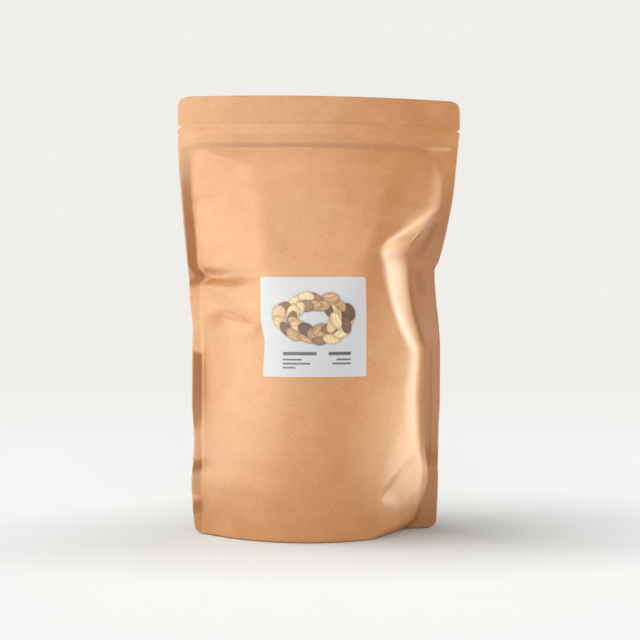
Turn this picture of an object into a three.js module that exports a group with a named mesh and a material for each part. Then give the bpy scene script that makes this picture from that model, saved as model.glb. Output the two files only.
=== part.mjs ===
// A filled kraft-paper stand-up pouch, heat-sealed shut over a press-to-close zip, with a square
// paper label and loose dried shiitake caps inside.
// Millimetres. +Z is up and the front faces -Y. The origin is on the table, under the middle.

import * as THREE from "three";

// Driving dimensions of the pouch
const HEIGHT = 288;
const HALF_DEPTH = 40.5;
const BULGE_CENTRE_X = -4.5;
const PAPER = 0.5;
const SEAL_GAP = 0.3;
const TOP_CORNER_RADIUS = 6.7;
const BOTTOM_CORNER_RADIUS = 5.4;
const NOTCH_Z = 268;
const NOTCH_DEPTH = 2.3;
const NOTCH_HALF_MOUTH = 1.6;

// The press-to-close zip
const ZIP_Z = 260;
const ZIP_HALF_LENGTH = 83;
const ZIP_RIDGE = 1.1;
const ZIP_CREST = 3.4;
const ZIP_FOOT = 5;

// The gusset that the filling has pushed flat
const GUSSET_LEFT = -73;
const GUSSET_RIGHT = 60;
const GUSSET_RISE = 32;
const GUSSET_LIP = 4;

// The label
const LABEL = { left: -43.3, right: 24.1, bottom: 106, top: 169.5 };
const LABEL_PAPER = 0.3;

// The filling
const CAP_COUNT = 42;
const CAP_RADIUS = [15, 24];
const CAP_DOME = 0.42;
const BEAD_MARGIN = 1.06;
const HEAP_SEED = 58;
const GILLS_UP_SHARE = 0.35;
const MOST_TILT = 0.4;
const FILL_BOTTOM = 8;
const FILL_TOP = 235;

// Outlines, as [height, x] points: the pouch's side edges, and where each side seal ends and the
// filled body's flank rises from it
const leftEdge = curve([
  [0, -84.1], [9, -85.3], [22, -86.4], [35, -86.9], [48, -85.8], [62, -85.1], [88, -86.4], [120, -86],
  [135, -85.6], [154, -87.4], [168, -88.1], [180, -89.3], [207, -91.8], [252, -94.6], [268, -94.8],
]);
const rightEdge = curve([
  [0, 77.5], [5, 77.9], [19, 78.7], [33, 79.2], [60, 78.5], [87, 79.4], [120, 79.5], [141, 78.7],
  [154, 77.5], [168, 76.4], [174, 76.3], [180, 79.1], [208, 86.3], [230, 90.5], [254, 93.2], [268, 94.8],
]);
const leftFoot = curve([
  [0, -78], [20, -78.8], [36, -80], [46, -78.5], [62, -78.1], [120, -79.1], [150, -80.1], [166, -80.5],
  [180, -82.2], [194, -83.1], [220, -85.7], [252, -87.7],
]);
const rightFoot = curve([
  [0, 52.5], [7, 61.1], [20, 67.5], [35, 72.5], [41, 71.5], [50, 69], [110, 68.5], [120, 69],
  [133, 65.5], [147, 61.5], [163, 59.5], [178, 59.1], [185, 54.5], [190, 56.5], [198, 63.5], [206, 71],
  [212, 76.5], [220, 83.5], [252, 87.5],
]);
const backLeftFoot = curve([
  [0, -70], [20, -75], [46, -78], [120, -79], [172, -76], [200, -81], [252, -87.7],
]);
const backRightFoot = curve([
  [0, 56], [20, 66], [46, 70], [110, 70], [150, 66], [180, 60], [200, 68], [222, 83], [252, 87.5],
]);

// How steeply each flank rises from its seal, by height
const leftSteepness = curve([
  [0, 0.95], [60, 1.2], [150, 1], [170, 0.72], [190, 0.56], [221, 0.37], [240, 0.2], [254, 0.1],
]);
const rightSteepness = curve([[0, 1.2], [60, 1.3], [120, 1.3], [150, 1.45], [180, 1.1], [217, 0.9]]);
const backSteepness = curve([[0, 1], [60, 1.25], [150, 1.1], [190, 0.6], [221, 0.4], [254, 0.1]]);
const fullness = curve([[0, 0.95], [40, 0.985], [100, 1], [150, 0.99], [180, 0.965], [HEIGHT, 0.94]]);

// The larger creases of the front, each a valley (or a ridge, where its depth is negative) along a
// line from one [x, z] point to another
const creases = [
  { from: [-84, 170.5], to: [-50, 166], depth: 5, halfWidth: 9 },
  { from: [-76, 156], to: [-44, 137], depth: 2.2, halfWidth: 9 },
  { from: [-66, 143], to: [-40, 132], depth: -1.4, halfWidth: 8 },
];

// How far the slack left seal leans forward at its edge, by height
const leftSealLean = curve([
  [0, 0.5], [15, 1.6], [30, 0.2], [45, 1.5], [60, 0], [95, 2.2], [118, 2.2], [126, 0], [160, 0.2],
  [190, 3], [225, 2.6], [250, 0.4], [HEIGHT, 0],
]);

// A smooth curve through [t, value] points that makes no bump between them, level past its ends
function curve(points) {
  const count = points.length;
  const slope = (i) => (points[i + 1][1] - points[i][1]) / (points[i + 1][0] - points[i][0]);
  const tangents = points.map((point, i) => {
    if (i === 0) return slope(0);
    if (i === count - 1) return slope(count - 2);
    const before = slope(i - 1);
    const after = slope(i);
    return before * after > 0 ? (2 * before * after) / (before + after) : 0;
  });
  return (t) => {
    if (t <= points[0][0]) return points[0][1];
    if (t >= points[count - 1][0]) return points[count - 1][1];
    const i = points.findIndex((point) => point[0] > t) - 1;
    const [start, from] = points[i];
    const [end, to] = points[i + 1];
    const length = end - start;
    const u = (t - start) / length;
    return (
      (1 + 2 * u) * (1 - u) ** 2 * from +
      u * (1 - u) ** 2 * length * tangents[i] +
      u * u * (3 - 2 * u) * to +
      u * u * (u - 1) * length * tangents[i + 1]
    );
  };
}

// Joins of two surfaces with a soft edge of the given width
function softMin(a, b, width) {
  const h = THREE.MathUtils.clamp(0.5 + (0.5 * (b - a)) / width, 0, 1);
  return b * (1 - h) + a * h - width * h * (1 - h);
}

function softMax(a, b, width) {
  return -softMin(-a, -b, width);
}

const smooth = (from, to, value) => THREE.MathUtils.smoothstep(value, from, to);

// The surfaces of the two sheets. Each gives a depth for a place (x, z): towards the front for the
// seam and the front sheet, and towards the back for the back sheet.
function bow(x, z) {
  return (10 - 14 * (x / 92) ** 2) * smooth(150, 256, z);
}

function seam(x, z) {
  const lean = leftSealLean(z) * smooth(0, 7, leftFoot(z) - x);
  const slackStrip = smooth(40, 56, z) * (1 - smooth(122, 150, z)) * (4.2 - 0.25 * (x - 68.5));
  return bow(x, z) + lean + slackStrip * smooth(60, 66, x) * (1 - smooth(73, 74, x));
}

function creased(x, z) {
  let depth = 0;
  for (const crease of creases) {
    const [fromX, fromZ] = crease.from;
    const length = Math.hypot(crease.to[0] - fromX, crease.to[1] - fromZ);
    const alongX = (crease.to[0] - fromX) / length;
    const alongZ = (crease.to[1] - fromZ) / length;
    const along = (x - fromX) * alongX + (z - fromZ) * alongZ;
    const across = Math.abs((x - fromX) * alongZ - (z - fromZ) * alongX);
    const reach = smooth(-4, 8, along) * smooth(-2, 14, length - along);
    depth += crease.depth * reach * Math.max(0, 1 - across / crease.halfWidth);
  }
  return depth;
}

function bulge(x, z) {
  const spread = x < BULGE_CENTRE_X ? 158 : 178;
  return HALF_DEPTH * fullness(z) - (x - BULGE_CENTRE_X) ** 2 / spread;
}

function frontBody(x, z) {
  const shoulder = bow(x, z) + 1.2 + 0.385 * (253 - z);
  const leftFlank = bow(-87, z) + leftSteepness(z) * (x - leftFoot(z));
  const rightFacet = 71.2 - 0.4355 * x - 0.1542 * z + 0.3 * bow(60, z);
  const rightFlank = 4 + rightSteepness(z) * (rightFoot(z) - x);
  const lowerRightFacet = 34 - 0.87 * (x - 28.5) + 0.13 * z;
  let depth = softMin(bulge(x, z), shoulder, 9);
  depth = softMin(depth, leftFlank, 4);
  depth = softMin(depth, rightFacet, 4);
  depth = softMin(depth, rightFlank, 4);
  return softMin(depth, lowerRightFacet, 3) - creased(x, z);
}

function backBody(x, z) {
  const shoulder = -bow(x, z) + 1.2 + 0.42 * (251 - z);
  const leftFlank = -bow(-87, z) + backSteepness(z) * (x - backLeftFoot(z));
  const rightFlank = -bow(87, z) + backSteepness(z) * (backRightFoot(z) - x);
  const depth = softMin(bulge(x, z), shoulder, 12);
  return softMin(softMin(depth, leftFlank, 6), rightFlank, 6);
}

function zipRidge(x, z) {
  const across = 1 - smooth(ZIP_CREST, ZIP_FOOT, Math.abs(z - ZIP_Z));
  return ZIP_RIDGE * across * (1 - smooth(ZIP_HALF_LENGTH + 4, ZIP_HALF_LENGTH + 6, Math.abs(x)));
}

const outside = {
  front: (x, z) => softMax(frontBody(x, z), seam(x, z), 0.8) + SEAL_GAP / 2 + PAPER + zipRidge(x, z),
  back: (x, z) => softMax(backBody(x, z), -seam(x, z), 0.8) + SEAL_GAP / 2 + PAPER + zipRidge(x, z),
};

// The inner face lies a paper's thickness in, measured square to the slope, and never past the seam
function inside(side, x, z) {
  const depth = outside[side];
  const here = depth(x, z);
  const reach = 0.5;
  const slopeX = (depth(x + reach, z) - depth(x - reach, z)) / (2 * reach);
  const slopeZ = (depth(x, z + reach) - depth(x, z - reach)) / (2 * reach);
  const steep = Math.min(2, Math.hypot(1, slopeX, slopeZ));
  const seal = (side === "front" ? seam(x, z) : -seam(x, z)) + SEAL_GAP / 2;
  return Math.max(seal, here - PAPER * steep);
}

// The side edges with their rounded corners and tear notches
function inset(z) {
  const top = Math.max(0, z - (HEIGHT - TOP_CORNER_RADIUS));
  const bottom = Math.max(0, BOTTOM_CORNER_RADIUS - z);
  const topCorner = TOP_CORNER_RADIUS - Math.sqrt(TOP_CORNER_RADIUS ** 2 - top ** 2);
  const bottomCorner = BOTTOM_CORNER_RADIUS - Math.sqrt(BOTTOM_CORNER_RADIUS ** 2 - bottom ** 2);
  const notch = NOTCH_DEPTH * Math.max(0, 1 - Math.abs(z - NOTCH_Z) / NOTCH_HALF_MOUTH);
  return topCorner + bottomCorner + notch;
}

const sheetRows = [
  0, 1.5, BOTTOM_CORNER_RADIUS, 13, 24, 36, 47, 60, 76, 93, 110, 124, 136, 148, 157, 165, 170.5, 176, 184,
  191, 199, 207, 215, 224, 234, 244, 251, ZIP_Z - ZIP_FOOT, ZIP_Z - ZIP_CREST, ZIP_Z + ZIP_CREST,
  ZIP_Z + ZIP_FOOT, NOTCH_Z - NOTCH_HALF_MOUTH, NOTCH_Z,
  NOTCH_Z + NOTCH_HALF_MOUTH, HEIGHT - TOP_CORNER_RADIUS, 285, 287, HEIGHT,
];
const MIDDLE_COLUMNS = 9;

function sheetColumns(z) {
  const left = leftEdge(z) + inset(z);
  const right = rightEdge(z) - inset(z);
  const leftSeal = Math.max(leftFoot(z), left + 2);
  const rightSeal = Math.min(rightFoot(z), right - 2);
  const columns = [left, (left + leftSeal) / 2, leftSeal, leftSeal + 5, leftSeal + 12];
  const from = leftSeal + 21;
  const to = rightSeal - 14;
  for (let i = 0; i < MIDDLE_COLUMNS; i++) {
    columns.push(THREE.MathUtils.lerp(from, to, i / (MIDDLE_COLUMNS - 1)));
  }
  columns.push(rightSeal - 8, rightSeal - 3, rightSeal + 1, (rightSeal + right) / 2, right);
  return columns;
}

// A closed solid between two grids of points that have the same rows and columns. Seen with the
// first grid towards the eye, its rows run up and its columns run to the right.
function slab(near, far) {
  const rows = near.length;
  const columns = near[0].length;
  const positions = [];
  const triangles = [];
  for (const grid of [near, far]) {
    for (const row of grid) {
      for (const point of row) positions.push(...point);
    }
  }
  const nearAt = (i, j) => i * columns + j;
  const farAt = (i, j) => rows * columns + i * columns + j;
  const quad = (a, b, c, d) => triangles.push(a, b, c, a, c, d);
  for (let i = 0; i + 1 < rows; i++) {
    for (let j = 0; j + 1 < columns; j++) {
      quad(nearAt(i, j), nearAt(i, j + 1), nearAt(i + 1, j + 1), nearAt(i + 1, j));
      triangles.push(farAt(i, j), farAt(i + 1, j + 1), farAt(i, j + 1));
      triangles.push(farAt(i, j), farAt(i + 1, j), farAt(i + 1, j + 1));
    }
  }
  const last = columns - 1;
  for (let i = 0; i + 1 < rows; i++) {
    quad(nearAt(i, 0), nearAt(i + 1, 0), farAt(i + 1, 0), farAt(i, 0));
    quad(nearAt(i + 1, last), nearAt(i, last), farAt(i, last), farAt(i + 1, last));
  }
  for (let j = 0; j + 1 < columns; j++) {
    quad(nearAt(0, j + 1), nearAt(0, j), farAt(0, j), farAt(0, j + 1));
    quad(nearAt(rows - 1, j), nearAt(rows - 1, j + 1), farAt(rows - 1, j + 1), farAt(rows - 1, j));
  }
  const geometry = new THREE.BufferGeometry();
  geometry.setAttribute("position", new THREE.Float32BufferAttribute(positions, 3));
  geometry.setIndex(triangles);
  geometry.computeVertexNormals();
  return geometry;
}

function gridOf(rows, columnsAt, pointAt) {
  return rows.map((row) => columnsAt(row).map((column) => pointAt(column, row)));
}

function frontPanelGeometry() {
  const outer = gridOf(sheetRows, sheetColumns, (x, z) => [x, -outside.front(x, z), z]);
  const inner = gridOf(sheetRows, sheetColumns, (x, z) => [x, -inside("front", x, z), z]);
  return slab(outer, inner);
}

function backPanelGeometry() {
  const inner = gridOf(sheetRows, sheetColumns, (x, z) => [x, inside("back", x, z), z]);
  const outer = gridOf(sheetRows, sheetColumns, (x, z) => [x, outside.back(x, z), z]);
  return slab(inner, outer);
}

// The gusset lies flat on the table in the middle, turns up a little at the front and back seals,
// and climbs to the pinched corners at both ends
function gussetHeight(x, across) {
  const middle = (GUSSET_LEFT + GUSSET_RIGHT) / 2;
  const along = Math.abs(x - middle) / (GUSSET_RIGHT - middle);
  const climb = GUSSET_RISE * Math.max(0, (along - 0.5) / 0.5) ** 1.6;
  const lip = GUSSET_LIP * Math.max(0, (Math.abs(across) - 0.7) / 0.3) ** 1.5;
  return climb * (0.7 + 0.3 * across ** 2) + lip;
}

function gussetGeometry() {
  const gap = 1.4;
  const stretch = [-1, -0.85, -0.7, -0.35, 0, 0.35, 0.7, 0.85, 1];
  const stations = [];
  for (let i = 0; i <= 16; i++) stations.push(THREE.MathUtils.lerp(GUSSET_LEFT, GUSSET_RIGHT, i / 16));
  const pointAt = (across, x, lift) => {
    const rim = gussetHeight(x, 1);
    const front = Math.min(inside("front", x, rim), inside("front", x, rim + lift)) - gap;
    const back = Math.min(inside("back", x, rim), inside("back", x, rim + lift)) - gap;
    const y = THREE.MathUtils.lerp(-front, back, (across + 1) / 2);
    return [x, y, gussetHeight(x, across) + lift];
  };
  const under = gridOf(stations, () => stretch, (across, x) => pointAt(across, x, 0));
  const over = gridOf(stations, () => stretch, (across, x) => pointAt(across, x, PAPER));
  return slab(under, over);
}

function labelGeometry() {
  const gap = 0.45;
  const rows = [];
  const columns = [];
  for (let i = 0; i <= 12; i++) {
    rows.push(THREE.MathUtils.lerp(LABEL.bottom, LABEL.top, i / 12));
    columns.push(THREE.MathUtils.lerp(LABEL.left, LABEL.right, i / 12));
  }
  const layer = (lift) => gridOf(rows, () => columns, (x, z) => [x, -outside.front(x, z) - lift, z]);
  return slab(layer(gap + LABEL_PAPER), layer(gap));
}

// One half of the zip: a [y, z] section, drawn for the front half and turned round for the back,
// and swept along the bowed mouth
const zipSections = {
  front: [
    [-1, -2.6], [-0.65, -2.6], [-0.65, -0.25], [0.1, -0.25], [0.1, 0.25], [-0.65, 0.25], [-0.65, 2.6],
    [-1, 2.6],
  ],
  back: [
    [0.65, -2.6], [1, -2.6], [1, 2.6], [0.65, 2.6], [0.65, 1.1], [-0.2, 1.1], [-0.2, 0.5], [0.35, 0.5],
    [0.35, -0.5], [-0.2, -0.5], [-0.2, -1.1], [0.65, -1.1],
  ],
};

function zipTrackGeometry(section) {
  const outline = section.map(([y, z]) => new THREE.Vector2(y, z));
  const shape = new THREE.Shape(outline);
  const geometry = new THREE.ExtrudeGeometry(shape, {
    depth: 2 * ZIP_HALF_LENGTH,
    steps: 12,
    bevelEnabled: false,
  });
  const position = geometry.getAttribute("position");
  for (let i = 0; i < position.count; i++) {
    const x = position.getZ(i) - ZIP_HALF_LENGTH;
    const z = position.getY(i) + ZIP_Z;
    position.setXYZ(i, x, position.getX(i) - bow(x, ZIP_Z), z);
  }
  geometry.computeVertexNormals();
  return geometry;
}

// A repeatable run of numbers from 0 to 1
function randomRun(seed) {
  let state = seed;
  return () => {
    state = (state * 1664525 + 1013904223) % 4294967296;
    return state / 4294967296;
  };
}

// A dried cap without its stem: a low dome with a wavy, rolled-in rim and hollow gills
function capGeometry(cap) {
  const { radius, dome, wave } = cap;
  const profile = [
    [0, 0.2 * dome], [0.4 * radius, 0.25 * dome], [0.82 * radius, -0.15 * dome], [radius, 0.02 * dome],
    [0.86 * radius, 0.5 * dome], [0.5 * radius, 0.9 * dome], [0, dome],
  ];
  const geometry = new THREE.LatheGeometry(profile.map(([r, h]) => new THREE.Vector2(r, h)), 10);
  geometry.rotateX(Math.PI / 2);
  const position = geometry.getAttribute("position");
  for (let i = 0; i < position.count; i++) {
    const x = position.getX(i);
    const y = position.getY(i);
    const angle = Math.atan2(y, x);
    const swell = 1 - 0.06 * (1 + Math.sin(3 * angle + wave));
    position.setX(i, x * swell);
    position.setY(i, y * swell);
  }
  geometry.computeVertexNormals();
  return geometry;
}

// The round beads that stand for one cap, a little larger than it, while the heap settles
function capBeads(cap) {
  const radius = BEAD_MARGIN * cap.radius;
  const dome = BEAD_MARGIN * cap.dome;
  const beads = [{ at: new THREE.Vector3(0, 0, 0.55 * dome), size: 0.62 * dome }];
  const ring = (count, distance, height, size) => {
    for (let i = 0; i < count; i++) {
      const angle = (2 * Math.PI * i) / count;
      const at = new THREE.Vector3(distance * Math.cos(angle), distance * Math.sin(angle), height);
      beads.push({ at, size });
    }
  };
  ring(6, 0.45 * radius, 0.5 * dome, 0.6 * dome);
  ring(10, 0.8 * radius, 0.2 * dome, 0.27 * radius);
  return beads;
}

function makeCaps() {
  const random = randomRun(HEAP_SEED);
  const caps = [];
  for (let i = 0; i < CAP_COUNT; i++) {
    const radius = THREE.MathUtils.lerp(CAP_RADIUS[0], CAP_RADIUS[1], random());
    const cap = { radius, dome: CAP_DOME * radius, wave: 6.28 * random() };
    const gillsUp = random() < GILLS_UP_SHARE ? Math.PI : 0;
    const tiltX = gillsUp + 2 * MOST_TILT * (random() - 0.5);
    const tiltY = 2 * MOST_TILT * (random() - 0.5);
    cap.turn = new THREE.Quaternion().setFromEuler(new THREE.Euler(tiltX, tiltY, 6.28 * random()));
    const height = THREE.MathUtils.lerp(FILL_BOTTOM + 12, FILL_TOP, (i + 0.5) / CAP_COUNT);
    const spread = 0.8 * (1 - height / 400);
    const x = BULGE_CENTRE_X + spread * 100 * (random() - 0.5);
    const y = spread * 50 * (random() - 0.5);
    cap.at = new THREE.Vector3(x, y, height);
    cap.beads = capBeads(cap);
    for (const bead of cap.beads) bead.at.applyQuaternion(cap.turn);
    caps.push(cap);
  }
  return caps;
}

// Pushes a cap back inside the two sheets and above the gusset
function holdInside(cap) {
  const push = new THREE.Vector3();
  let frontPush = 0;
  let backPush = 0;
  for (const bead of cap.beads) {
    const x = cap.at.x + bead.at.x;
    const y = cap.at.y + bead.at.y;
    const z = cap.at.z + bead.at.z;
    const room = 1.35 * bead.size + PAPER + 2.2;
    const front = outside.front(x, z) - room;
    const back = outside.back(x, z) - room;
    if (front + back < 0) push.x += Math.sign(BULGE_CENTRE_X - x);
    if (front + back < 0 && z > 170) push.z -= 1;
    frontPush = Math.max(frontPush, -front - y);
    backPush = Math.min(backPush, back - y);
    const floor = gussetHeight(x, 0.9) + PAPER + bead.size + 0.5;
    if (z < floor) push.z = Math.max(push.z, floor - z);
  }
  const wedged = frontPush > 0.2 && backPush < -0.2;
  push.y = frontPush + backPush;
  push.x = THREE.MathUtils.clamp(push.x, -1, 1);
  if (wedged) push.x += 0.5 * Math.sign(BULGE_CENTRE_X - cap.at.x);
  if (wedged && cap.at.z > 120) push.z -= 0.5;
  cap.at.add(push);
}

function pushApart(one, other) {
  const reach = one.radius + other.radius + 4;
  if (one.at.distanceTo(other.at) > reach) return;
  const gap = new THREE.Vector3();
  const push = new THREE.Vector3();
  let deepest = 0;
  for (const a of one.beads) {
    for (const b of other.beads) {
      gap.copy(one.at).add(a.at).sub(other.at).sub(b.at);
      const overlap = a.size + b.size + 0.4 - gap.length();
      if (overlap > deepest) {
        deepest = overlap;
        push.copy(gap).setLength(overlap / 2);
      }
    }
  }
  one.at.add(push);
  other.at.sub(push);
}

// The heap sinks a little at each step while the caps push each other apart
function settle(caps) {
  const sinking = 500;
  const still = 400;
  for (let step = 0; step < sinking + still; step++) {
    for (const cap of caps) {
      if (step < sinking) cap.at.z -= 0.35;
    }
    for (let i = 0; i < caps.length; i++) {
      for (let j = i + 1; j < caps.length; j++) pushApart(caps[i], caps[j]);
    }
    for (const cap of caps) holdInside(cap);
  }
}

// Finishes
const kraft = new THREE.MeshStandardMaterial({ color: 0xc99463, roughness: 0.6, metalness: 0 });
const labelPaper = new THREE.MeshStandardMaterial({ color: 0xe4e2e0, roughness: 0.55, metalness: 0 });
const film = new THREE.MeshStandardMaterial({ color: 0xdfe3e2, roughness: 0.35, metalness: 0 });
const mushroom = new THREE.MeshStandardMaterial({ color: 0x6b4a30, roughness: 0.9, metalness: 0 });

const pouch = new THREE.Group();

function addPiece(name, geometry, material) {
  const mesh = new THREE.Mesh(geometry, material);
  mesh.name = name;
  pouch.add(mesh);
  return mesh;
}

addPiece("front_panel", frontPanelGeometry(), kraft);
addPiece("back_panel", backPanelGeometry(), kraft);
addPiece("bottom_gusset", gussetGeometry(), kraft);
addPiece("zip_track_front", zipTrackGeometry(zipSections.front), film);
addPiece("zip_track_back", zipTrackGeometry(zipSections.back), film);
addPiece("label", labelGeometry(), labelPaper);

const caps = makeCaps();
settle(caps);
caps.forEach((cap, i) => {
  const name = "cap_" + String(i + 1).padStart(2, "0");
  const mesh = addPiece(name, capGeometry(cap), mushroom);
  mesh.position.copy(cap.at);
  mesh.quaternion.copy(cap.turn);
});

export default pouch;
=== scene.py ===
"""The looks of a filled kraft-paper stand-up pouch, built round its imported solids."""

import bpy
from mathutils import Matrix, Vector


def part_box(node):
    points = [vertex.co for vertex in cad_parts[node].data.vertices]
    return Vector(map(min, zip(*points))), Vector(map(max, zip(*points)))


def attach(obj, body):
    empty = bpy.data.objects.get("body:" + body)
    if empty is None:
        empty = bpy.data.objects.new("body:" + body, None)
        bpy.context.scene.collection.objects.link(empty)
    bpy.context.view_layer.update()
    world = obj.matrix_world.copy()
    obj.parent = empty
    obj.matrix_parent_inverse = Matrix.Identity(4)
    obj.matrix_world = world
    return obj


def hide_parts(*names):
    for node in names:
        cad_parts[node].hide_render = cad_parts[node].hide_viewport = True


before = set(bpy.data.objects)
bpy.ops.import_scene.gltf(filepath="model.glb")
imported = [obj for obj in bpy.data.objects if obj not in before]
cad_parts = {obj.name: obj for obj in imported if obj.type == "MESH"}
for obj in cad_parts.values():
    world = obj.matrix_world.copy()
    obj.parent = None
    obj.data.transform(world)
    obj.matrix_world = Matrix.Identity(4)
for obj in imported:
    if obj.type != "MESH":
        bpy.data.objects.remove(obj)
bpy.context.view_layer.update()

import math

import bpy
import numpy as np
from mathutils import Vector

# Driving dimensions in millimetres: x to the right, z up, depth forward from the side seals
HEIGHT = 288.0
HALF_DEPTH = 40.5
BULGE_CENTRE_X = -4.5
PAPER = 0.2
SEAL_GAP = 0.06
TOP_CORNER_RADIUS = 6.7
BOTTOM_CORNER_RADIUS = 5.4
NOTCH_Z = 268.0
NOTCH_DEPTH = 2.3
NOTCH_HALF_MOUTH = 1.6
ZIP_BAND = (253.2, 257.4, 263.4, 269.5)  # heights where the zip's swelling starts, is full, and ends
ZIP_SWELLING = 1.2
BELOW_ZIP_Z = 255.2
ABOVE_ZIP_Z = 270.6
LABEL = {"left": -43.3, "right": 24.1, "bottom": 106.0, "top": 169.5}
LABEL_CORNER = 1.3
LABEL_LIFT = 0.16
LABEL_THICKNESS = 0.12
SOLID_SKIN = 0.65  # how far the solids' outer faces lie from the plane of the seals
GUSSET_RISE = 32.0
GUSSET_LIP = 4.0
GUSSET_MARGIN = 0.9

# How finely the sheets are made: spacing in millimetres, or numbers of points
FRONT_SPACING = 1.1
BACK_SPACING = 1.5
GUSSET_POINTS = (110, 70)
LABEL_ROWS = 205
LABEL_COLUMNS = 217

# The camera, from the photograph: millimetres, degrees and pixels
CAMERA_DISTANCE = 800.0
CAMERA_AZIMUTH = -6.9
CAMERA_HEIGHT = 165.0
AIM_HEIGHT = 141.0
AIM_X = -0.5
FOCAL_PIXELS = 1200.0
FRAME_PIXELS = 640.0
CENTRE_PIXEL_X = 321.2


def curve(points):
    """A smooth curve through (t, value) points that makes no bump between them, level past its ends."""
    t_known, known = np.array(points, float).T
    length = np.diff(t_known)
    slope = np.diff(known) / length
    tangent = np.zeros(len(known))
    for i in range(1, len(known) - 1):
        if slope[i - 1] * slope[i] > 0:
            tangent[i] = 2 * slope[i - 1] * slope[i] / (slope[i - 1] + slope[i])
    tangent[0] = slope[0]
    tangent[-1] = slope[-1]

    def at(t):
        t = np.clip(t, t_known[0], t_known[-1])
        i = np.clip(np.searchsorted(t_known, t, side="right") - 1, 0, len(known) - 2)
        u = (t - t_known[i]) / length[i]
        return (
            (1 + 2 * u) * (1 - u) ** 2 * known[i]
            + u * (1 - u) ** 2 * length[i] * tangent[i]
            + u * u * (3 - 2 * u) * known[i + 1]
            + u * u * (u - 1) * length[i] * tangent[i + 1]
        )

    return at


def smooth(start, end, value):
    """0 up to start and 1 from end on; start may be the larger one."""
    t = np.clip((value - start) / (end - start), 0, 1)
    return t * t * (3 - 2 * t)


def soft_min(a, b, width):
    h = np.clip(0.5 + 0.5 * (b - a) / width, 0, 1)
    return b * (1 - h) + a * h - width * h * (1 - h)


def soft_max(a, b, width):
    return -soft_min(-a, -b, width)


# Outlines, as (height, x) points: the side edges, and where each seal ends and the flank rises
left_edge = curve([
    (0, -84.1), (9, -85.3), (22, -86.4), (35, -86.9), (48, -85.8), (62, -85.1), (88, -86.4), (120, -86),
    (135, -85.6), (154, -87.4), (168, -88.1), (180, -89.3), (207, -91.8), (252, -94.6), (268, -94.8),
])
right_edge = curve([
    (0, 77.5), (5, 77.9), (19, 78.7), (33, 79.2), (60, 78.5), (87, 79.4), (120, 79.5), (141, 78.7),
    (154, 77.5), (168, 76.4), (174, 76.3), (180, 79.1), (208, 86.3), (230, 90.5), (254, 93.2), (268, 94.8),
])
left_foot = curve([
    (0, -79.5), (20, -79.6), (36, -80.4), (46, -79.4), (62, -79.4), (120, -79.4), (150, -80.4),
    (163, -80.6), (170, -77.6), (178, -82.6), (194, -83.4), (220, -85.8), (252, -87.5),
])
right_foot = curve([
    (0, 52.5), (7, 61.1), (20, 67.5), (35, 72.5), (41, 71.5), (50, 69), (90, 67.2), (110, 68.4),
    (120, 68.6), (133, 64.5), (147, 60.2), (163, 57.6), (179, 56.2), (186, 54.4), (191, 56.2),
    (198.3, 62.3), (206.3, 68.3), (212, 72), (218, 76), (226, 80), (240, 85), (252, 89),
])
back_left_foot = curve([(0, -70), (20, -75), (46, -78), (120, -79), (172, -76), (200, -81), (252, -87.7)])
back_right_foot = curve([
    (0, 56), (20, 66), (46, 70), (110, 70), (150, 66), (180, 60), (200, 68), (222, 83), (252, 87.5),
])

# How steeply each flank rises from its seal, by height
left_steepness = curve([
    (0, 1.1), (60, 1.2), (150, 1), (170, 0.86), (190, 0.7), (221, 0.48), (240, 0.38), (254, 0.5),
])
right_steepness = curve([
    (0, 1.2), (60, 1.3), (120, 1.35), (150, 1.45), (180, 1.2), (200, 1.15), (207, 0.95), (213, 0.65),
    (220, 0.44), (250, 0.42),
])
back_steepness = curve([(0, 1), (60, 1.25), (150, 1.1), (190, 0.6), (221, 0.4), (254, 0.1)])
fullness = curve([(0, 0.95), (40, 0.985), (100, 1), (150, 0.99), (180, 0.965), (HEIGHT, 0.94)])

# How far the outer edge of each side seal stands forward of the seal's inner edge, by height
left_seal_lean = curve([
    (0, 0), (12, -0.4), (19, 2.6), (26, -0.9), (40, -1.1), (46, 2.8), (52, -0.9), (66, -1.5), (78, 1),
    (92, 2.8), (118, 3.2), (122, -1.6), (150, -2), (162, -1), (170, 3), (185, 3.2), (225, 3), (250, 0.6),
    (HEIGHT, 0),
])

# Creases of the front: from one (x, z) point to another, how deep (below zero for a ridge), how wide on
# its left and right side as one looks along it, and how far its two ends take to fade
FRONT_CREASES = [
    ((-86, 221), (-46, 222), 1, 5, 13, 3, 8),
    ((-79, 170), (-52, 166.5), 4, 7, 5, 4, 18),
    ((-75, 154), (-45, 138.5), 4, 6, 9, 12, 14),
    ((-72, 144.5), (-42, 138), -3, 5, 13, 8, 10),
    ((62, 53), (35, 23.5), 2, 16, 5, 12, 10),
]


def creased(x, z, creases):
    """Depth of all creases together, each a valley with straight sides and fading ends."""
    depth = 0
    for start, end, height, wide_left, wide_right, fade_in, fade_out in creases:
        length = math.dist(start, end)
        along_x = (end[0] - start[0]) / length
        along_z = (end[1] - start[1]) / length
        along = (x - start[0]) * along_x + (z - start[1]) * along_z
        across = (x - start[0]) * along_z - (z - start[1]) * along_x
        reach = smooth(-fade_in / 2, fade_in, along) * smooth(-fade_out / 7, fade_out, length - along)
        wide = np.where(across < 0, wide_left, wide_right)
        depth = depth + height * reach * np.clip(1 - np.abs(across) / wide, 0, 1)
    return depth


def bow(x, z):
    """How far the flat top of the pouch curves forward of the seals' plane."""
    return (10 - 14 * (x / 92) ** 2) * smooth(150, 256, z)


def seam(x, z):
    """Depth of the plane where the two sheets meet, with the side seals' lean and slack."""
    lean = left_seal_lean(z) * np.clip((left_foot(z) - x) / 6.5, 0, 1)
    slack_strip = smooth(40, 56, z) * (1 - smooth(122, 150, z)) * (2.4 + 0.1 * (x - 68.5))
    return bow(x, z) + lean + slack_strip * smooth(60, 66, x)


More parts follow.
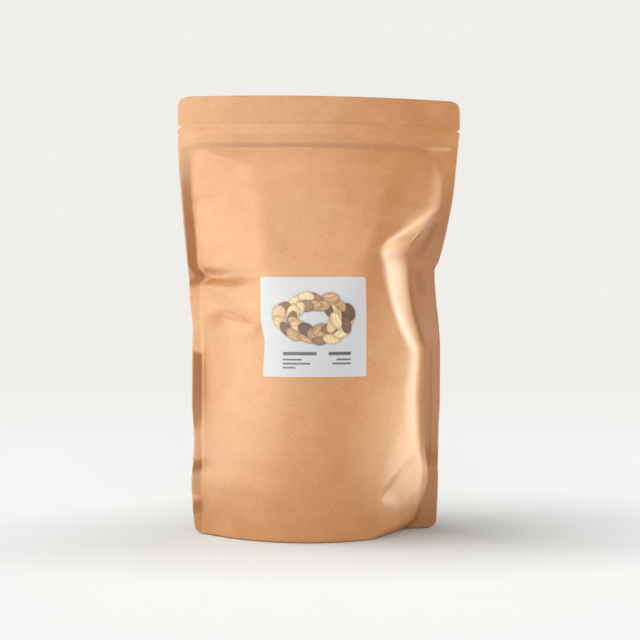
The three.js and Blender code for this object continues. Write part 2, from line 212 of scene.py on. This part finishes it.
def bulge(x, z):
    """Depth that the filling gives to either sheet."""
    spread = np.where(x < BULGE_CENTRE_X, 158, 178 + 60 * smooth(195, 230, z))
    return HALF_DEPTH * fullness(z) - (x - BULGE_CENTRE_X) ** 2 / spread


def front_body(x, z):
    """The front sheet inside its seals: the filling's bulge cut by shoulder, flanks, facets and creases."""
    shoulder = bow(x, z) + 1.2 + 0.385 * (253 - z)
    left_flank = bow(-87, z) + left_steepness(z) * (x - left_foot(z))
    right_facet = 71.2 - 0.4355 * x - 0.1542 * z + 0.3 * bow(60, z)
    core = soft_min(bulge(x, z), shoulder, 6)
    core = soft_min(core, left_flank, 5 - 3.4 * smooth(175, 200, z))
    core = soft_min(core, right_facet, 3)
    upper = smooth(212, 240, z)
    flank = soft_min(core, 4.4 - 2.4 * upper + right_steepness(z) * (right_foot(z) - x), 3.5)
    flank = soft_min(flank, 34 - 0.87 * (x - 28.5) + 0.13 * z, 3)
    past_apron = (x - 61.8) * 0.78 - (z - 180.4) * 0.627
    away = (1 - smooth(167, 180, z)) + smooth(208, 244, z) + (1 - smooth(42, 48, x))
    apron = np.minimum(0.7 - 0.24 * past_apron, 3.4) - 9 * away
    sealed = (3.3 - 0.5 * upper) * smooth(19, 1, right_edge(z) - x)
    return soft_max(flank, apron, 0.8) - creased(x, z, FRONT_CREASES) - sealed


def back_body(x, z):
    shoulder = -bow(x, z) + 1.2 + 0.42 * (251 - z)
    left_flank = -bow(-87, z) + back_steepness(z) * (x - back_left_foot(z))
    right_flank = -bow(87, z) + back_steepness(z) * (back_right_foot(z) - x)
    depth = soft_min(bulge(x, z), shoulder, 12)
    return soft_min(soft_min(depth, left_flank, 6), right_flank, 6)


def zip_ridge(x, z):
    start, full, falling, end = ZIP_BAND
    rise = smooth(start, full, z) * (1 - smooth(falling, end, z))
    return ZIP_SWELLING * rise * (1 - smooth(82, 94, np.abs(x)))


def front_face(x, z):
    """Depth of the front sheet's outer face, forward of the seals' plane."""
    return soft_max(front_body(x, z), seam(x, z), 0.8) + SOLID_SKIN + zip_ridge(x, z)


def back_face(x, z):
    """Depth of the back sheet's outer face, behind the seals' plane."""
    return soft_max(back_body(x, z), -seam(x, z), 0.8) + SOLID_SKIN + zip_ridge(x, z)


def inset(z):
    top = np.maximum(0, z - (HEIGHT - TOP_CORNER_RADIUS))
    bottom = np.maximum(0, BOTTOM_CORNER_RADIUS - z)
    top_corner = TOP_CORNER_RADIUS - np.sqrt(TOP_CORNER_RADIUS**2 - top**2)
    bottom_corner = BOTTOM_CORNER_RADIUS - np.sqrt(BOTTOM_CORNER_RADIUS**2 - bottom**2)
    notch = NOTCH_DEPTH * np.maximum(0, 1 - np.abs(z - NOTCH_Z) / NOTCH_HALF_MOUTH)
    return top_corner + bottom_corner + notch


def mesh_object(name, points, faces):
    """A mesh object from points in millimetres."""
    mesh = bpy.data.meshes.new(name)
    mesh.from_pydata((np.asarray(points) / 1000).tolist(), [], faces)
    mesh.polygons.foreach_set("use_smooth", [True] * len(mesh.polygons))
    mesh.update()
    made = bpy.data.objects.new(name, mesh)
    bpy.context.scene.collection.objects.link(made)
    return made


def slab(name, near, far):
    """A closed sheet between two grids of points; the near grid's rows go up, its columns to the right."""
    rows, columns = near.shape[:2]
    number = np.arange(rows * columns).reshape(rows, columns)
    behind = number + rows * columns

    def quads(a, b, c, d):
        return np.stack([a, b, c, d], -1).reshape(-1, 4).tolist()

    faces = quads(number[:-1, :-1], number[:-1, 1:], number[1:, 1:], number[1:, :-1])
    faces += quads(behind[:-1, :-1], behind[1:, :-1], behind[1:, 1:], behind[:-1, 1:])
    faces += quads(number[:-1, 0], number[1:, 0], behind[1:, 0], behind[:-1, 0])
    faces += quads(number[1:, -1], number[:-1, -1], behind[:-1, -1], behind[1:, -1])
    faces += quads(number[0, 1:], number[0, :-1], behind[0, :-1], behind[0, 1:])
    faces += quads(number[-1, :-1], number[-1, 1:], behind[-1, 1:], behind[-1, :-1])
    points = np.concatenate([near.reshape(-1, 3), far.reshape(-1, 3)])
    return mesh_object(name, points, faces)


def sheet_grid(spacing):
    """Places (x, z) over a whole sheet, with rows at the notches' tips and mouths."""
    stops = [0, NOTCH_Z - NOTCH_HALF_MOUTH, NOTCH_Z, NOTCH_Z + NOTCH_HALF_MOUTH, HEIGHT]
    heights = [0.0]
    for low, high in zip(stops, stops[1:]):
        count = max(2, math.ceil((high - low) / spacing))
        heights += list(np.linspace(low, high, count + 1)[1:])
    heights = np.array(heights)
    columns = math.ceil((right_edge(HEIGHT) - left_edge(HEIGHT)) / spacing)
    left = left_edge(heights) + inset(heights)
    right = right_edge(heights) - inset(heights)
    share = np.linspace(0, 1, columns + 1)
    x = left[:, None] + (right - left)[:, None] * share[None, :]
    z = np.repeat(heights[:, None], columns + 1, 1)
    return x, z


def pulled_in(face, x, z, seal, thickness):
    """The face's other side, a paper's thickness in, and never past the seal."""
    reach = 0.5
    slope_x = (face(x + reach, z) - face(x - reach, z)) / (2 * reach)
    slope_z = (face(x, z + reach) - face(x, z - reach)) / (2 * reach)
    steep = np.minimum(2, np.sqrt(1 + slope_x**2 + slope_z**2))
    return np.maximum(seal, face(x, z) - thickness * steep)


def near_line(x, z, start, end, half_width):
    """1 on the line from start to end, 0 past its half width and past its ends."""
    length = math.dist(start, end)
    along_x = (end[0] - start[0]) / length
    along_z = (end[1] - start[1]) / length
    along = (x - start[0]) * along_x + (z - start[1]) * along_z
    across = np.abs((x - start[0]) * along_z - (z - start[1]) * along_x)
    ends = smooth(-1, 3, along) * smooth(-1, 3, length - along)
    return ends * smooth(half_width, 0.3 * half_width, across)


# Fold lines painted darker than the paper around them, as wear and as painted shade in folds the sheet's
# shape lacks, and paler, as a painted highlight, where the strength is below zero: from one (x, z) point to
# another, half width, strength
FOLD_WEAR_AND_PAINTED_SHADE = [
    ((76.5, 208), (64, 182), 5, 0.6),
    ((88, 246), (74, 214), 1, 0.2),
    ((60, 178.6), (74.5, 178), 0.8, -0.5),
    ((65, 174), (68, 158), 4, 0.55),
    ((73.2, 120), (72.8, 42), 1.3, 0.8),
    ((-84, 177.6), (-66, 175), 1, 0.35),
    ((-80.5, 163.4), (-62, 155), 1.2, 0.3),
    ((-86, 222.6), (-48, 223.4), 1.2, 0.12),
    ((62, 51), (38, 26), 1.2, 0.3),
    ((57, 22), (60, 12), 1, 0.25),
]


def pressed_and_painted_shade(x, z, left_end, right_end, left_share=1.0):
    """How dark the sheets are drawn, as heat-sealed paper and as painted shade: the side seals beside the
    bulging body and the lines round the zip, the lower one in the shade under the zip's ridge.
    """
    # Painted shade with the seals' own darker tone: the side seals are dark only low down, beside the
    # bulging body
    left = 0.85 * left_share * smooth(0.6, -0.6, x - left_end(z)) * smooth(258, 240, z)
    right = 1.3 * smooth(-0.6, 0.6, x - right_end(z)) * smooth(250, 205, z)
    middle = 1 - smooth(80, 90, np.abs(x))
    # Painted shade under the zip's ridge, along with its heat-sealed line
    below_zip = 0.8 * smooth(3.2, 0.4, np.abs(z - BELOW_ZIP_Z)) * middle
    above_zip = 0.35 * smooth(1.1, 0.3, np.abs(z - ABOVE_ZIP_Z)) * middle
    return np.maximum(np.maximum(left, right), np.maximum(below_zip, above_zip))


def front_pressed_and_painted_shade(x, z):
    """The front's heat-sealed lines with their painted shade, and the folds' painted shade and highlights;
    the left seal is painted dark, as shade, only where it leans forward.
    """
    # Painted shade: the left seal is drawn dark only as far as its outer edge leans forward
    left_share = 0.1 + 0.9 * smooth(-0.5, 1.5, left_seal_lean(z))
    tone = pressed_and_painted_shade(x, z, left_foot, right_foot, left_share)
    # Painted shade along the folds, and a paler painted highlight where a fold's strength is below zero
    for start, end, half_width, strength in FOLD_WEAR_AND_PAINTED_SHADE:
        tone = tone + strength * near_line(x, z, start, end, half_width)
    return tone


def store(piece, name, values):
    """Keeps one number a point on a piece, both sides of the sheet alike."""
    layer = piece.data.attributes.new(name, "FLOAT", "POINT")
    layer.data.foreach_set("value", np.tile(values.ravel(), 2))


def make_front_panel():
    x, z = sheet_grid(FRONT_SPACING)
    outer = front_face(x, z)
    inner = pulled_in(front_face, x, z, seam(x, z) + SEAL_GAP / 2, PAPER)
    made = slab("front_paper", np.stack([x, -outer, z], -1), np.stack([x, -inner, z], -1))
    store(made, "pressed_and_painted_shade", front_pressed_and_painted_shade(x, z))
    return made


def make_back_panel():
    x, z = sheet_grid(BACK_SPACING)
    outer = back_face(x, z)
    inner = pulled_in(back_face, x, z, -seam(x, z) + SEAL_GAP / 2, PAPER)
    made = slab("back_paper", np.stack([x, inner, z], -1), np.stack([x, outer, z], -1))
    store(made, "pressed_and_painted_shade", pressed_and_painted_shade(x, z, back_left_foot, back_right_foot))
    return made


def gusset_height(x, across, left, right):
    """Height of the gusset: across runs from -1 at the back sheet to 1 at the front sheet."""
    middle = (left + right) / 2
    along = np.abs(x - middle) / (right - middle)
    climb = GUSSET_RISE * np.maximum(0, (along - 0.5) / 0.5) ** 1.6
    turned_up = GUSSET_LIP * np.maximum(0, (np.abs(across) - 0.7) / 0.3) ** 1.5
    return climb * (0.7 + 0.3 * across**2) + turned_up


def make_gusset():
    low, high = (corner * 1000 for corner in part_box("bottom_gusset"))
    along = np.linspace(low.x, high.x, GUSSET_POINTS[0])
    x, across = np.meshgrid(along, np.linspace(-1, 1, GUSSET_POINTS[1]), indexing="ij")
    floor = gusset_height(x, across, low.x, high.x)
    rim = gusset_height(x, 1, low.x, high.x)
    front = front_face(x, rim) - GUSSET_MARGIN
    back = back_face(x, rim) - GUSSET_MARGIN
    y = -front + (front + back) * (across + 1) / 2
    under = np.stack([x, y, floor], -1)
    over = np.stack([x, y, floor + PAPER], -1)
    return slab("gusset_paper", under, over)


label_left_edge = curve([
    (106, -41.8), (118, -41.2), (128.8, -40.7), (136, -42), (143, -43.1), (169.5, -43.3),
])

# The label's print: a garland of seeds and leaves between plain bars, in parts of the label's width
PRINT_TONES = [
    ((0.74, 0.5, 0.25), (0.42, 0.22, 0.09)), ((0.2, 0.085, 0.04), (0.06, 0.025, 0.014)),
    ((0.84, 0.64, 0.38), (0.55, 0.32, 0.14)), ((0.33, 0.15, 0.07), (0.1, 0.04, 0.02)),
    ((0.58, 0.33, 0.14), (0.26, 0.12, 0.05)), ((0.12, 0.05, 0.027), (0.04, 0.017, 0.01)),
]
PRINT_GROUND = (0.572, 0.556, 0.582)
RING_SEEDS = 17
INNER_RING = 0.62
PRINT_SEED = 7

# The bars: start and end across the label, height up it, thickness
PRINT_BARS = [
    (0.18, 0.5, 0.235, 0.030), (0.18, 0.36, 0.175, 0.014), (0.18, 0.44, 0.135, 0.014),
    (0.18, 0.3, 0.095, 0.012), (0.62, 0.84, 0.235, 0.030), (0.7, 0.84, 0.175, 0.014),
    (0.66, 0.84, 0.135, 0.014),
]
BAR_INK = (0.07, 0.065, 0.065)


def print_colours(across, up):
    """The print's colour at each place of the label; across and up run from 0 to 1."""
    ink = np.full(across.shape + (3,), PRINT_GROUND)
    chance = np.random.default_rng(PRINT_SEED)
    for number in range(2 * RING_SEEDS):
        outer_ring = number < RING_SEEDS
        turn = math.tau * number / RING_SEEDS + (0 if outer_ring else 0.18)
        ring = 1 if outer_ring else INNER_RING
        x0 = 0.5 + 0.33 * ring * math.cos(turn) + chance.uniform(-0.012, 0.012)
        y0 = 0.585 + 0.205 * ring * math.sin(turn) + chance.uniform(-0.012, 0.012)
        long = chance.uniform(0.075, 0.098)
        broad = long * chance.uniform(0.5, 0.8)
        lean = turn + math.pi / 2 + chance.uniform(-0.6, 0.6)
        along = (across - x0) * math.cos(lean) + (up - y0) * math.sin(lean)
        side = (up - y0) * math.cos(lean) - (across - x0) * math.sin(lean)
        away = np.sqrt((along / long) ** 2 + (side / broad) ** 2)
        light, dark = PRINT_TONES[(number * 5 + number // 3) % len(PRINT_TONES)]
        if number % 3 == 0:
            veins = smooth(0.55, 0.95, np.cos(side / broad * 9 + np.abs(along) / long * 5))
        elif number % 3 == 1:
            veins = smooth(0.2, 0.9, np.cos(np.arctan2(side, along) * 14)) * smooth(0.2, 0.5, away)
        else:
            veins = smooth(0.1, 0.8, np.sin(along * 160 + 3 * np.sin(side * 110)))
        shade = np.maximum(veins * 0.75, smooth(0.72, 0.98, away))[..., None]
        tone = np.array(light) + (np.array(dark) - light) * shade
        tone = tone * (1.12 - 0.3 * np.clip(side / broad * 0.5 + 0.5, 0, 1))[..., None]
        halo = 0.55 * smooth(1.3, 1, away)
        ink = ink * (1 - halo[..., None] * 0.5)
        inside = smooth(1.02, 0.96, away)[..., None]
        ink = ink * (1 - inside) + tone * inside
    for start, end, height, thick in PRINT_BARS:
        inside = smooth(-0.004, 0.001, np.minimum(across - start, end - across))
        inside = inside * smooth(0.004, -0.001, np.abs(up - height) - thick / 2)
        ink = ink * (1 - inside[..., None]) + np.array(BAR_INK) * inside[..., None]
    return ink


def make_label():
    up = np.linspace(LABEL["bottom"], LABEL["top"], LABEL_ROWS)
    to_end = np.maximum(0, LABEL_CORNER - np.minimum(up - LABEL["bottom"], LABEL["top"] - up))
    corner = LABEL_CORNER - np.sqrt(LABEL_CORNER**2 - to_end**2)
    left = label_left_edge(up) + corner
    right = LABEL["right"] - corner
    share = np.linspace(0, 1, LABEL_COLUMNS)
    x = left[:, None] + (right - left)[:, None] * share
    z = np.repeat(up[:, None], len(share), 1)
    outer = front_face(x, z) + LABEL_LIFT
    inner = outer - LABEL_THICKNESS
    made = slab("paper_label", np.stack([x, -outer, z], -1), np.stack([x, -inner, z], -1))
    across, height = np.meshgrid(share, np.linspace(0, 1, len(up)))
    ink = np.tile(print_colours(across, height).reshape(-1, 3), (2, 1))
    layer = made.data.color_attributes.new("print", "FLOAT_COLOR", "POINT")
    layer.data.foreach_set("color", np.concatenate([ink, np.ones((len(ink), 1))], 1).ravel())
    return made


class Nodes:
    """A material's node tree, written as calls."""

    def __init__(self, name):
        self.material = bpy.data.materials.new(name)
        self.material.use_nodes = True
        self.tree = self.material.node_tree
        self.shader = self.tree.nodes["Principled BSDF"]
        self.place = self.tree.nodes.new("ShaderNodeTexCoord").outputs["Object"]

    def add(self, kind, inputs=None, **settings):
        node = self.tree.nodes.new(kind)
        for key, value in settings.items():
            setattr(node, key, value)
        for key, value in (inputs or {}).items():
            self.put(value, node.inputs[key])
        return node

    def put(self, value, socket):
        if isinstance(value, bpy.types.NodeSocket):
            self.tree.links.new(value, socket)
        else:
            socket.default_value = value

    def noise(self, scale, detail=2.0, stretch=(1, 1, 1), roughness=0.5, distortion=0.0):
        place = self.add("ShaderNodeMapping", {"Vector": self.place, "Scale": stretch}).outputs[0]
        inputs = {"Vector": place, "Scale": scale, "Detail": detail}
        inputs.update({"Roughness": roughness, "Distortion": distortion})
        return self.add("ShaderNodeTexNoise", inputs).outputs[0]

    def ramp(self, value, low, high, to_low=0.0, to_high=1.0):
        inputs = {"Value": value, "From Min": low, "From Max": high, "To Min": to_low, "To Max": to_high}
        return self.add("ShaderNodeMapRange", inputs).outputs[0]

    def mix(self, share, a, b, blend="MIX"):
        node = self.add("ShaderNodeMix", data_type="RGBA", blend_type=blend)
        for socket, value in ((node.inputs[0], share), (node.inputs[6], a), (node.inputs[7], b)):
            self.put(value, socket)
        return node.outputs[2]

    def bump(self, height, distance, strength=1.0, normal=None):
        inputs = {"Height": height, "Distance": distance, "Strength": strength}
        if normal is not None:
            inputs["Normal"] = normal
        return self.add("ShaderNodeBump", inputs).outputs[0]


def kraft_material():
    """Brown kraft paper under a thin satin film: mottled, with fibres running across and fine specks."""
    n = Nodes("kraft_paper")
    fibres = n.noise(1000, 4, (0.45, 1, 1.3), 0.6)
    cloud = n.noise(75, 4, (0.8, 1, 1.2), 0.6)
    broad = n.noise(22, 2, (1, 1, 0.7), 0.5)
    colour = n.mix(n.ramp(fibres, 0.3, 0.7), (0.49, 0.202, 0.066, 1), (0.592, 0.27, 0.096, 1))
    colour = n.mix(n.ramp(cloud, 0.4, 0.75, 0, 0.4), colour, (0.66, 0.33, 0.13, 1))
    colour = n.mix(n.ramp(broad, 0.4, 0.65, 0, 0.25), colour, (0.48, 0.195, 0.062, 1))
    specks = n.noise(1500, 2, (0.5, 1, 1), 0.6)
    colour = n.mix(n.ramp(specks, 0.67, 0.74, 0, 0.5), colour, (0.26, 0.1, 0.04, 1))
    light_specks = n.noise(1250, 2, (0.35, 1, 1.3), 0.6)
    colour = n.mix(n.ramp(light_specks, 0.68, 0.76, 0, 0.45), colour, (0.82, 0.56, 0.34, 1))
    # Darkens the paper by the stored value: heat-sealed tone with painted shade at the seals, under the zip
    # and along the folds, and lighter along the fold drawn with a strength below zero, a painted highlight
    seal = n.add("ShaderNodeAttribute", attribute_name="pressed_and_painted_shade").outputs["Fac"]
    colour = n.mix(n.ramp(seal, 0, 1.8, 0, 0.78), colour, (0.25, 0.08, 0.022, 1))
    n.put(colour, n.shader.inputs["Base Color"])
    n.put(n.ramp(cloud, 0.3, 0.7, 0.34, 0.42), n.shader.inputs["Roughness"])
    grain = n.bump(fibres, 0.0002, 0.2)
    waves = n.bump(broad, 0.006, 0.2, grain)
    n.put(n.bump(cloud, 0.0008, 0.25, waves), n.shader.inputs["Normal"])
    return n.material


def label_material():
    """Satin white paper with its print."""
    n = Nodes("label_paper")
    grain = n.noise(700, 3)
    ink = n.add("ShaderNodeAttribute", attribute_name="print").outputs["Color"]
    paper = n.mix(n.ramp(grain, 0.3, 0.7), (0.96, 0.96, 0.96, 1), (1, 1, 1, 1))
    n.put(n.mix(1.0, ink, paper, "MULTIPLY"), n.shader.inputs["Base Color"])
    n.shader.inputs["Roughness"].default_value = 0.45
    n.put(n.bump(grain, 0.00005, 0.2), n.shader.inputs["Normal"])
    return n.material


def film_material():
    """The zip's milky film."""
    n = Nodes("zip_film")
    streaks = n.noise(300, 2, (0.1, 1, 3))
    colour = n.mix(streaks, (0.7, 0.73, 0.72, 1), (0.82, 0.85, 0.84, 1))
    n.put(colour, n.shader.inputs["Base Color"])
    n.shader.inputs["Roughness"].default_value = 0.35
    n.shader.inputs["Transmission Weight"].default_value = 0.3
    n.put(n.bump(streaks, 0.0001, 0.3), n.shader.inputs["Normal"])
    return n.material


def mushroom_material():
    """Dried cap skin, dark and cracked, with paler flesh in the cracks."""
    n = Nodes("dried_mushroom")
    cells = n.add("ShaderNodeTexVoronoi", {"Vector": n.place, "Scale": 170.0}, feature="DISTANCE_TO_EDGE")
    cracks = cells.outputs[0]
    wrinkles = n.noise(220, 5, (1, 1, 1), 0.65, 0.4)
    colour = n.mix(n.ramp(wrinkles, 0.35, 0.65), (0.09, 0.045, 0.022, 1), (0.26, 0.15, 0.08, 1))
    colour = n.mix(n.ramp(cracks, 0.0, 0.06, 0.7, 0), colour, (0.62, 0.46, 0.29, 1))
    n.put(colour, n.shader.inputs["Base Color"])
    n.shader.inputs["Roughness"].default_value = 0.85
    edges = n.bump(n.ramp(cracks, 0, 0.1), 0.0006, 0.7)
    n.put(n.bump(wrinkles, 0.001, 0.6, edges), n.shader.inputs["Normal"])
    return n.material


def stage_material(tone, glow_tone):
    """Pale floor with a painted shadow, a little darker in an oval under the pouch, that turns into the
    background further out.
    """
    n = Nodes("pale_floor")
    grain = n.noise(3, 2)
    colour = n.mix(grain, (*(0.995 * part for part in tone), 1), (*tone, 1))
    # Painted shadow: the floor's colour darkened in an oval under the pouch
    oval = {"Vector": n.place, "Location": (-0.02, 0, 0), "Scale": (0.5, 1, 1)}
    stretched = n.add("ShaderNodeMapping", oval).outputs[0]
    near = n.add("ShaderNodeVectorMath", {0: stretched}, operation="LENGTH").outputs["Value"]
    painted_oval_shadow = n.ramp(near, 0.045, 0.15, 0.22, 0)
    colour = n.mix(painted_oval_shadow, colour, (0, 0, 0, 1))
    n.put(colour, n.shader.inputs["Base Color"])
    n.shader.inputs["Roughness"].default_value = 0.9
    n.shader.inputs["Specular IOR Level"].default_value = 0.0
    glow = n.add("ShaderNodeEmission", {"Color": (*glow_tone, 1), "Strength": 1.0}).outputs[0]
    distance = n.add("ShaderNodeVectorMath", {0: n.place}, operation="LENGTH").outputs["Value"]
    far = n.ramp(distance, 0.45, 1.1)
    blend = n.add("ShaderNodeMixShader", {0: far, 1: n.shader.outputs[0], 2: glow})
    n.put(blend.outputs[0], n.tree.nodes["Material Output"].inputs["Surface"])
    return n.material


def dress(piece, material, slot, *nodes):
    """Gives a piece its material and body, and hides the solids it stands for; slot is not used."""
    piece.data.materials.clear()
    piece.data.materials.append(material)
    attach(piece, "root")
    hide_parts(*nodes)


def dress_solid(name, material):
    """Gives a solid that is seen as it is its material."""
    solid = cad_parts[name]
    solid.data.materials.clear()
    solid.data.materials.append(material)


def make_pouch():
    kraft = kraft_material()
    dress(make_front_panel(), kraft, "kraft_paper", "front_panel")
    dress(make_back_panel(), kraft, "kraft_paper", "back_panel")
    dress(make_gusset(), kraft, "kraft_paper", "bottom_gusset")
    dress(make_label(), label_material(), "label_paper", "label")
    film = film_material()
    for name in ("zip_track_front", "zip_track_back"):
        dress_solid(name, film)
    mushroom = mushroom_material()
    for name in sorted(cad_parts):
        if name.startswith("cap_"):
            dress_solid(name, mushroom)


BACKGROUND = (0.867, 0.855, 0.823)
ROOM_TINT = (1.0, 0.99, 0.975)
AMBIENT = 0.35
FLOOR_TONE = 0.868
FLOOR_TINT = (0.97, 0.99, 0.98)
GLOSS_TINT = (0.92, 1, 0.88)
PANEL_DISTANCE = 1.2
PANEL_OFF_FLOOR = 0.002


def make_stage():
    under_pouch = (0, 0, -0.0003)
    bpy.ops.mesh.primitive_circle_add(vertices=96, radius=30, fill_type="NGON", location=under_pouch)
    floor = bpy.context.object
    floor.name = "floor"
    tone = [FLOOR_TONE * part for part in FLOOR_TINT]
    floor.data.materials.append(stage_material(tone, BACKGROUND))
    world = bpy.data.worlds.new("studio")
    bpy.context.scene.world = world
    world.use_nodes = True
    tree = world.node_tree
    room = tree.nodes["Background"]
    room.inputs["Color"].default_value = (*ROOM_TINT, 1)
    room.inputs["Strength"].default_value = AMBIENT
    seen = tree.nodes.new("ShaderNodeBackground")
    seen.inputs["Color"].default_value = (*BACKGROUND, 1)
    rays = tree.nodes.new("ShaderNodeLightPath")
    blend = tree.nodes.new("ShaderNodeMixShader")
    tree.links.new(rays.outputs["Is Camera Ray"], blend.inputs[0])
    tree.links.new(room.outputs[0], blend.inputs[1])
    tree.links.new(seen.outputs[0], blend.inputs[2])
    tree.links.new(blend.outputs[0], tree.nodes["World Output"].inputs["Surface"])


def direction(azimuth, elevation):
    """Towards a light: azimuth 0 is in front of the object and 90 is to its right, in degrees."""
    turn, up = math.radians(azimuth), math.radians(elevation)
    return Vector((math.sin(turn) * math.cos(up), -math.cos(turn) * math.cos(up), math.sin(up)))


def sun(name, azimuth, elevation, strength, width):
    """A soft far light: its strength as seen on a white sheet that faces it, its width in degrees."""
    light = bpy.data.lights.new(name, "SUN")
    light.energy = strength * math.pi
    light.angle = math.radians(width)
    made = bpy.data.objects.new(name, light)
    bpy.context.scene.collection.objects.link(made)
    made.rotation_euler = (-direction(azimuth, elevation)).to_track_quat("-Z", "Y").to_euler()


def gloss_panel(name, middle, facing, size, glow):
    """A soft box that shows only as gloss: middle and size in metres, facing as a direction."""
    light = bpy.data.lights.new(name, "AREA")
    light.shape = "RECTANGLE"
    light.color = GLOSS_TINT
    light.size, light.size_y = size
    light.energy = glow * math.pi * size[0] * size[1]
    made = bpy.data.objects.new(name, light)
    bpy.context.scene.collection.objects.link(made)
    made.location = middle
    made.rotation_euler = Vector(facing).to_track_quat("-Z", "Y").to_euler()
    made.visible_diffuse = False
    made.visible_camera = False


def make_lights():
    sun("key_light", -98, 65, 0.6, 34)
    sun("left_fill", -60, 15, 0.13, 50)
    sun("front_fill", -8, 8, 0.455, 60)
    sun("right_fill", 98, 10, 0.38, 40)
    left = PANEL_DISTANCE * direction(-62, 0)
    gloss_panel("left_gloss", left + Vector((0, 0, 0.5)), -left, (1.3, 1.1), 6.2)
    gloss_panel("low_left_gloss", (-0.7, -0.3, PANEL_OFF_FLOOR), (0, 0, 1), (1.0, 0.9), 5.8)
    front = PANEL_DISTANCE * direction(-14, 42)
    gloss_panel("front_gloss", front, -front, (0.9, 1.0), 3.7)
    gloss_panel("low_front_gloss", (-0.25, -0.75, PANEL_OFF_FLOOR), (0, 0, 1), (0.7, 0.7), 3.4)
    right = PANEL_DISTANCE * direction(112, 0)
    gloss_panel("right_gloss", right + Vector((0, 0, 0.4)), -right, (0.8, 0.8), 7.8)
    gloss_panel("low_right_gloss", (0.6, 0.1, PANEL_OFF_FLOOR), (0, 0, 1), (0.9, 0.9), 7.3)


def make_camera():
    camera = bpy.data.cameras.new("camera")
    camera.sensor_width = 36
    camera.lens = 36 * FOCAL_PIXELS / FRAME_PIXELS
    camera.shift_x = (FRAME_PIXELS / 2 - CENTRE_PIXEL_X) / FRAME_PIXELS
    camera.clip_end = 100
    made = bpy.data.objects.new("camera", camera)
    bpy.context.scene.collection.objects.link(made)
    turn = math.radians(CAMERA_AZIMUTH)
    aim = Vector((AIM_X, 0, AIM_HEIGHT)) / 1000
    side = CAMERA_DISTANCE * math.sin(turn)
    forward = -CAMERA_DISTANCE * math.cos(turn)
    made.location = Vector((AIM_X + side, forward, CAMERA_HEIGHT)) / 1000
    made.rotation_euler = (aim - made.location).to_track_quat("-Z", "Y").to_euler()
    bpy.context.scene.camera = made


make_camera()
make_pouch()
make_stage()
make_lights()
bpy.context.scene.view_settings.view_transform = "Standard"
